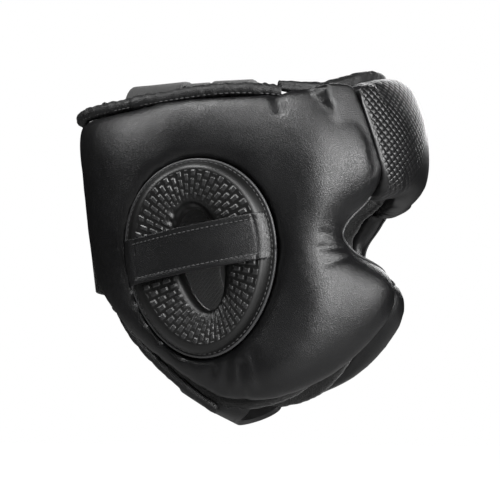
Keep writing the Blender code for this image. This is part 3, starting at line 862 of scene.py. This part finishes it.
def egg_point(turn, width, height, lean, centre_x):
    across_ring = width / 2 * math.cos(turn) * (1 + RING_TAPER * math.sin(turn))
    up_ring = height / 2 * math.sin(turn)
    tilt = math.radians(lean)
    x = centre_x + across_ring * math.cos(tilt) - up_ring * math.sin(tilt)
    z = -EAR_DROP * SHELL_DROP + across_ring * math.sin(tilt) + up_ring * math.cos(tilt)
    return x, z


def ring_spot(turn, share):
    outer = egg_point(turn, RING_WIDTH, RING_HEIGHT, RING_LEAN, EAR_X)
    inner = egg_point(turn, HOLE_WIDTH, HOLE_HEIGHT, HOLE_LEAN, EAR_X + HOLE_SHIFT)
    return mix(inner[0], outer[0], share), mix(inner[1], outer[1], share)


def pucker(turn, share):
    """Folds that run out from the hole, deepest at its lower front and upper rear."""
    low_front = math.exp(-(((turn + 1.15) / 0.55) ** 2))
    high_rear = 0.6 * math.exp(-(((turn - 2.15) / 0.45) ** 2))
    fold = math.sin(turn * 27 + 2.5 * math.sin(turn * 5))
    return 0.0012 * fold * (low_front + high_rear) * (1 - smooth(share / 0.42))


def ring_place(turn, share, side, lift=0.0):
    x, z = ring_spot(turn, share)
    face = curve_through(RING_FACE, share)[0] * RING_WALL
    return side_point(x, z, SEAT + face + pucker(turn, share) + lift, side)


def make_ear_ring(side, word):
    round_steps, face_steps, wall_steps = 176, 44, 4
    rows = face_steps + 2 * wall_steps
    grid = bmesh.new()
    bmesh.ops.create_grid(grid, x_segments=round_steps, y_segments=rows, size=1)
    pressed = grid.verts.layers.float.new("pressed")
    ring_map = grid.loops.layers.uv.new("round_ring")
    for face in grid.faces:
        for corner in face.loops:
            flat = corner.vert.co
            corner[ring_map].uv = (
                flat.x * math.pi * RING_MAP_RADIUS,
                flat.y * RING_MAP_DEPTH,
            )
    for point in grid.verts:
        turn = math.pi * point.co.x
        row = round((point.co.y + 1) / 2 * rows)
        if row <= wall_steps:
            share, lift = 0.0, row / wall_steps
        elif row >= rows - wall_steps:
            share, lift = 1.0, (rows - row) / wall_steps
        else:
            share, lift = (row - wall_steps) / face_steps, 1.0
        point[pressed] = smooth((share - 0.12) / 0.10) * smooth((0.75 - share) / 0.03)
        top = ring_place(turn, share, side)
        x, z = ring_spot(turn, share)
        foot = side_point(x, z, SEAT, side)
        point.co = mix(foot, top, lift)
    bmesh.ops.remove_doubles(grid, verts=grid.verts, dist=0.00001)
    open_edges = [edge for edge in grid.edges if edge.is_boundary]
    bmesh.ops.bridge_loops(grid, edges=open_edges)
    bmesh.ops.recalc_face_normals(grid, faces=grid.faces)
    piece = make_object("ear_cushion_" + word, grid, ring_skin)
    return seat_piece(piece, "carbon_leather", "ear_ring_" + word)


for side, word in SIDES:
    make_ear_ring(side, word)

# %% [markdown]
# Cords, piping and rolled edges are all tubes. A curve with a round bevel gives an even
# tube, and once it is a mesh its skin can be gathered into the small wrinkles of real
# turned leather.

# %% Tubes and stitches
def tube_mesh(points, diameter, shares=(), sides=3):
    path = bpy.data.curves.new("path", "CURVE")
    path.dimensions = "3D"
    path.bevel_depth = diameter / 2
    path.bevel_resolution = sides
    path.use_fill_caps = True
    spline = path.splines.new("POLY")
    spline.points.add(len(points) - 1)
    for place, point in zip(spline.points, points):
        place.co = (*point, 1)
    for place, share in zip(spline.points, shares):
        place.radius = share
    holder = bpy.data.objects.new("path", path)
    bpy.context.scene.collection.objects.link(holder)
    bpy.context.view_layer.update()
    seen = holder.evaluated_get(bpy.context.evaluated_depsgraph_get())
    data = bpy.data.meshes.new_from_object(seen)
    bpy.data.objects.remove(holder)
    grid = bmesh.new()
    grid.from_mesh(data)
    bmesh.ops.remove_doubles(grid, verts=grid.verts, dist=0.00001)
    bmesh.ops.recalc_face_normals(grid, faces=grid.faces)
    return grid


def even_steps(points, pitch):
    """The same path with its points evenly spaced."""
    lengths = [0.0]
    for start, end in zip(points, points[1:]):
        lengths.append(lengths[-1] + (end - start).length)
    count = max(2, round(lengths[-1] / pitch))
    found = []
    index = 0
    for step in range(count + 1):
        want = lengths[-1] * step / count
        while index < len(points) - 2 and lengths[index + 1] < want:
            index += 1
        span = lengths[index + 1] - lengths[index]
        found.append(points[index].lerp(points[index + 1], (want - lengths[index]) / span))
    return found


def mirrored(points):
    """A path from the right side to the left, from its right half, which ends in the middle."""
    return points + [Vector((p.x, -p.y, p.z)) for p in reversed(points[:-1])]


STITCH = 0.0040


def make_stitches(name, paths, pitch=STITCH, long=0.0029, thick=0.00085):
    """A row of short threads along each path, all in one piece."""
    rows = bmesh.new()
    for path in paths:
        spots = even_steps(path, pitch)
        for here, after in zip(spots, spots[1:]):
            run = (after - here).normalized()
            new = bmesh.ops.create_uvsphere(rows, u_segments=6, v_segments=4, radius=0.5)
            turned = run.to_track_quat("Z", "Y").to_matrix().to_4x4()
            bmesh.ops.scale(rows, verts=new["verts"], vec=(thick, thick, long))
            bmesh.ops.transform(rows, verts=new["verts"], matrix=turned)
            bmesh.ops.translate(rows, verts=new["verts"], vec=(here + after) / 2)
    piece = make_object(name, rows, thread)
    return seat_piece(piece, "binding")


# %% [markdown]
# The rolled edges hide the raw edge of pads and lining. Folded over a curve, their leather
# gathers into short wrinkles across the roll. The front one has a long crease as well.

# %% Rolled edges
TOP_EDGE = (
    (0, 0.0180), (20, 0.038), (34, 0.062), (43, 0.083), (51, 0.098), (60, 0.094),
    (69, 0.074), (91, 0.066), (108, 0.076), (128, 0.085), (150, 0.084), (180, 0.073),
)
FRONT_EDGE = (
    (0, -0.0150, 0.0100, 1.0), (20, 0.0040, 0.0080, 1.0), (34, 0.0280, 0.0055, 1.0),
    (43, 0.0495, 0.0048, 1.0), (51, 0.0640, 0.0050, 1.0), (60, 0.0630, 0.0065, 0.80),
    (70, 0.0625, 0.0105, 0.64), (72, 0.0625, 0.0110, 0.64),
)
JUNCTION, ROLL_OVERLAP = 70.5, 0.6
EDGE_ARC = 0.11
EDGE_GAP = 0.0008
TOP_BINDING, FRONT_BINDING, LOW_BINDING = 0.0094, 0.0120, 0.0078


def top_rise(angle):
    return -SHELL_DROP * curve_through(TOP_EDGE, angle)[0]


def wrinkle(grid, depth, spacing):
    """Gathers a rolled edge into short wrinkles."""
    bmesh.ops.recalc_face_normals(grid, faces=grid.faces)
    grid.normal_update()
    for point in grid.verts:
        turn = math.atan2(point.co.y, point.co.x) * EDGE_ARC
        seed = Vector((turn / spacing, point.co.z / spacing / 3, point.co.x * 20))
        point.co = point.co + point.normal * depth * (noise.noise(seed) - 0.15)


def rear_edge_points(steps, drop=0.002, more_out=0.0):
    out = LINING_WALL + EDGE_GAP + TOP_BINDING / 2 + more_out
    half = []
    for step in range(steps + 1):
        angle = mix(JUNCTION - ROLL_OVERLAP, 180, step / steps)
        half.append(shell_point(angle, top_rise(angle) - drop, out))
    half[-1].y = 0
    return mirrored(half)


def front_edge_points(steps):
    half, shares = [], []
    for step in range(steps + 1):
        angle = mix(JUNCTION, 0, step / steps)
        depth, out, share = curve_through(FRONT_EDGE, angle)
        half.append(shell_point(angle, -SHELL_DROP * depth, out))
        shares.append(share)
    return mirrored(half), shares + shares[-2::-1]


def crease_along(grid, points, depth, width):
    """Presses one long crease into the outer side of a roll."""
    for point in grid.verts:
        near = min(points, key=lambda spot: (spot - point.co).length_squared)
        rise = point.co.z - near.z
        outward = Vector((near.x, near.y, 0)).normalized()
        if (point.co - near).dot(outward) > 0:
            point.co = point.co - outward * depth * math.exp(-((rise / width) ** 2))


REAR_STEPS, FRONT_STEPS = 150, 96
grid = tube_mesh(rear_edge_points(REAR_STEPS), TOP_BINDING, sides=5)
wrinkle(grid, 0.0011, 0.0042)
seat_piece(make_object("rear_rolled_edge", grid, binding), "binding", "rear_top_binding")

front_path, front_shares = front_edge_points(FRONT_STEPS)
grid = tube_mesh(front_path, FRONT_BINDING, front_shares, sides=6)
crease_along(grid, front_path, 0.0016, 0.0011)
wrinkle(grid, 0.0009, 0.0060)
seat_piece(make_object("front_rolled_edge", grid, binding), "binding", "front_top_binding")

LOW_EDGE = (
    (59, 0.958), (70, 0.986), (82, 1.002), (94, 0.996), (106, 0.946), (118, 0.886),
    (130, 0.824), (141, 0.764), (151, 0.706), (160, 0.654), (169, 0.672), (180, 0.682),
)


def low_rise(angle):
    return -SHELL_DROP * curve_through(LOW_EDGE, angle)[0]


LOW_STEPS, LOW_START = 100, 96
LOW_DROP, LOW_OUT = 0.0016, 0.0045
half = []
for step in range(LOW_STEPS + 1):
    angle = mix(LOW_START, 180, step / LOW_STEPS)
    half.append(shell_point(angle, low_rise(angle) - LOW_DROP, LOW_OUT))
half[-1].y = 0
grid = tube_mesh(mirrored(half), LOW_BINDING, sides=4)
wrinkle(grid, 0.0007, 0.0050)
seat_piece(make_object("low_rolled_edge", grid, binding), "binding", "low_binding")

stitch_out = 0.62 * (TOP_BINDING / 2 - 0.0002)
rear_row = rear_edge_points(REAR_STEPS, drop=0.0052, more_out=stitch_out)
make_stitches("rear_edge_stitches", [rear_row])

# %% [markdown]
# Straps are flat, so they are laid directly and given a wall. Their long edges are turned
# under and sewn down, which leaves a raised hem with a row of stitches beside it.

# %% Straps
def lay_band(name, steps, rows, rule, wall, material):
    """A strap from a rule that gives the place at a share along it and a share across it."""
    grid = bmesh.new()
    bmesh.ops.create_grid(grid, x_segments=steps, y_segments=rows, size=1)
    for point in grid.verts:
        along, over = (point.co.x + 1) / 2, (point.co.y + 1) / 2
        point.co = rule(along, over)
    bmesh.ops.recalc_face_normals(grid, faces=grid.faces)
    centre = Vector((0, 0, -0.12))
    facing = sum(f.normal.dot(f.calc_center_median() - centre) for f in grid.faces)
    if facing <= 0:
        bmesh.ops.reverse_faces(grid, faces=grid.faces)
    piece = make_object(name, grid, material)
    thick = piece.modifiers.new("Wall", "SOLIDIFY")
    thick.thickness = wall
    thick.offset = 1
    edge = piece.modifiers.new("Edges", "BEVEL")
    edge.width = wall * 0.35
    edge.segments = 2
    edge.limit_method = "ANGLE"
    apply_modifiers(piece)
    return piece


EAR_STRAP_WIDTH, EAR_STRAP_TILT, EAR_STRAP_RISE = 0.031, 9.5, 0.0055
STRAP_WALL, STRAP_REACH = 0.0025, 0.93


def ear_reach(x, z):
    tilt = math.radians(RING_LEAN)
    along, rise = x - EAR_X, z + EAR_DROP * SHELL_DROP
    over = along * math.cos(tilt) + rise * math.sin(tilt)
    up_share = (rise * math.cos(tilt) - along * math.sin(tilt)) / (RING_HEIGHT / 2)
    wide = RING_WIDTH / 2 * (1 + RING_TAPER * max(-1.0, min(1.0, up_share)))
    return math.hypot(over / wide, up_share)


def ring_crossing(offset, direction):
    near, far = 0.0, RING_WIDTH
    slope = math.tan(math.radians(EAR_STRAP_TILT))
    for _ in range(24):
        along = (near + far) / 2
        z = offset - EAR_DROP * SHELL_DROP + direction * along * slope
        if ear_reach(EAR_X + direction * along, z) < STRAP_REACH:
            near = along
        else:
            far = along
    return near


def ear_strap_place(along, over, side, lift=0.0):
    offset = EAR_STRAP_RISE + EAR_STRAP_WIDTH * (over - 0.5)
    rear_end, front_end = ring_crossing(offset, -1), ring_crossing(offset, 1)
    run = mix(-rear_end, front_end, 0.5 - 0.5 * math.cos(math.pi * along))
    reach = STRAP_REACH * (run / front_end if run > 0 else -run / rear_end)
    share = 1 - (1 - reach) / (1 - HOLE_WIDTH / RING_WIDTH)
    crown = 1.0 if share < 0.7 else curve_through(RING_FACE, min(1.0, share))[0]
    hem = 0.0005 * (smooth((0.10 - min(over, 1 - over)) / 0.03))
    out = SEAT + crown * RING_WALL + 0.0008 + hem + lift
    z = offset - EAR_DROP * SHELL_DROP + run * math.tan(math.radians(EAR_STRAP_TILT))
    return side_point(EAR_X + run, z, out, side)


for side, word in SIDES:
    strap = lay_band(
        "ear_band_" + word, 72, 24,
        lambda along, over: ear_strap_place(along, over, side), STRAP_WALL, leather,
    )
    seat_piece(strap, "leather", "ear_strap_" + word)
    rows = []
    for over in (0.12, 0.88):
        row = [ear_strap_place(s / 60, over, side, STRAP_WALL + 0.0001) for s in range(2, 59)]
        rows.append(row)
    make_stitches("ear_band_stitches_" + word, rows, pitch=0.0033, long=0.0024, thick=0.0007)

# %% [markdown]
# The piping is a thin cord sewn into a seam. It runs round each ear ring, where pad and ring
# meet, and shows a bright line: partly its own sheen, partly a painted highlight, since its
# colour is painted much lighter than the black leather.

# %% Ring piping and its stitches
LOOP_TURNS = [2 * math.pi * step / 140 for step in range(141)]
for side, word in SIDES:
    loop = [ring_place(turn, 1.0, side, 0.0009) for turn in LOOP_TURNS]
    cord = make_object("ring_piping_" + word, tube_mesh(loop, 0.0022), piping)
    seat_piece(cord, "leather")
    row = [ring_place(turn, 0.955, side, 0.0002) for turn in LOOP_TURNS]
    make_stitches("ring_stitches_" + word, [row], pitch=0.0036, long=0.0025, thick=0.0007)

# %% [markdown]
# Two fine lines finish the front: a cord on the rim of the eye notch, and a row of stitches
# beside the brow seam. Each is a rough path that is laid down on the nearest skin.

# %% Eye notch cord and brow seam stitches
EYE_RIM = (
    (0, 35.4, 0.404), (1, 38.5, 0.424), (2, 43.0, 0.450), (3, 48.0, 0.480),
    (4, 49.5, 0.506), (5, 45.0, 0.530), (6, 40.0, 0.548), (7, 34.0, 0.562), (8, 27.0, 0.586),
)


def lay_on(piece, points, lift):
    """The nearest places on a piece's skin, lifted a little."""
    corners = [point.co for point in piece.data.vertices]
    skin = BVHTree.FromPolygons(corners, [tuple(f.vertices) for f in piece.data.polygons])
    found = []
    for point in points:
        place, normal, _, _ = skin.find_nearest(point)
        found.append(place + normal * lift)
    return found


for side, word in SIDES:
    rough = []
    for step in range(81):
        angle, drop = curve_through(EYE_RIM, step / 10)
        rough.append(shell_point(angle, -SHELL_DROP * drop, 0.027, side))
    rim = lay_on(side_skins[side], rough, 0.0004)
    for _ in range(6):
        inner = [(a + b * 2 + c) / 4 for a, b, c in zip(rim, rim[1:], rim[2:])]
        rim = [rim[0], *inner, rim[-1]]
    cord = make_object("eye_rim_cord_" + word, tube_mesh(rim, 0.0018), piping)
    seat_piece(cord, "leather")
    rough = []
    for step in range(41):
        z = mix(-0.092, -0.026, step / 40)
        rough.append(shell_point(seam_angle(z) - 1.6, z, 0.040, side))
    row = lay_on(brow, rough, 0.0001)
    make_stitches("brow_seam_stitches_" + word, [row], pitch=0.0038, long=0.0026, thick=0.0008)

# %% [markdown]
# The straps over the crown are woven and ribbed, and the wide one at the nape closes with
# hook and loop. They keep the frame's shape, with finer faces and rounded edges. The strap
# under the chin is soft leather over foam, and is laid as a band that hangs from jaw to jaw.

# %% Crown, chin and nape straps
def fine_strap(name, node, material, slot):
    grid = frame_copy(node)
    bmesh.ops.subdivide_edges(grid, edges=grid.edges, cuts=1, use_grid_fill=True)
    piece = make_object(name, grid, material)
    edge = piece.modifiers.new("Edges", "BEVEL")
    edge.width = 0.0007
    edge.segments = 2
    edge.limit_method = "ANGLE"
    edge.angle_limit = math.radians(55)
    apply_modifiers(piece)
    return seat_piece(piece, slot, node)


for node in ("crown_strap_rear", "crown_strap_middle", "crown_strap_front"):
    fine_strap(node + "_webbing", node, webbing, "webbing")
fine_strap("nape_closing_strap", "nape_strap", webbing, "webbing")
fine_strap("pull_loop", "nape_loop", binding, "binding")


def chin_place(along, over):
    """Rear edge at 0 across and front edge at 1, with both ends tucked behind the lining's hem."""
    turn = math.pi * along
    hang = max(0.0, math.sin(turn))
    end_x = mix(-0.034, 0.012, over)
    jaw = -SHELL_DROP * mix(0.900, 0.960, over)
    end = side_point(end_x, jaw, 0)
    rim = low_rise(side_angle(end_x, jaw)) + 0.0030
    x = mix(end_x, mix(-0.040, -0.003, over), hang)
    low = -SHELL_DROP * mix(0.945, 1.036, over)
    pleat = 0.0007 * math.sin(over * 26) * (1 - smooth(hang / 0.35))
    return Vector((x, end.y * math.cos(turn), mix(rim, low, hang**0.8) + pleat))


CHIN_WALL = 0.0042
chin = lay_band("chin_band", 96, 20, chin_place, CHIN_WALL, binding)
seat_piece(chin, "binding", "chin_strap")
below = Vector((0, 0, -CHIN_WALL - 0.0002))
chin_rows = []
for over in (0.10, 0.90):
    chin_rows.append([chin_place(s / 90, over) + below for s in range(4, 87)])
make_stitches("chin_stitches", chin_rows)

# %% [markdown]
# Before the script ends, the size of the dressed headgear is written beside the size of the
# plain one, so that the two can be compared after each render.

# %% Sizes
dressed_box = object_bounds()
for label, box in (("plain", cad_box), ("dressed", dressed_box)):
    print(label, [round(1000 * v, 1) for corner in box for v in corner])
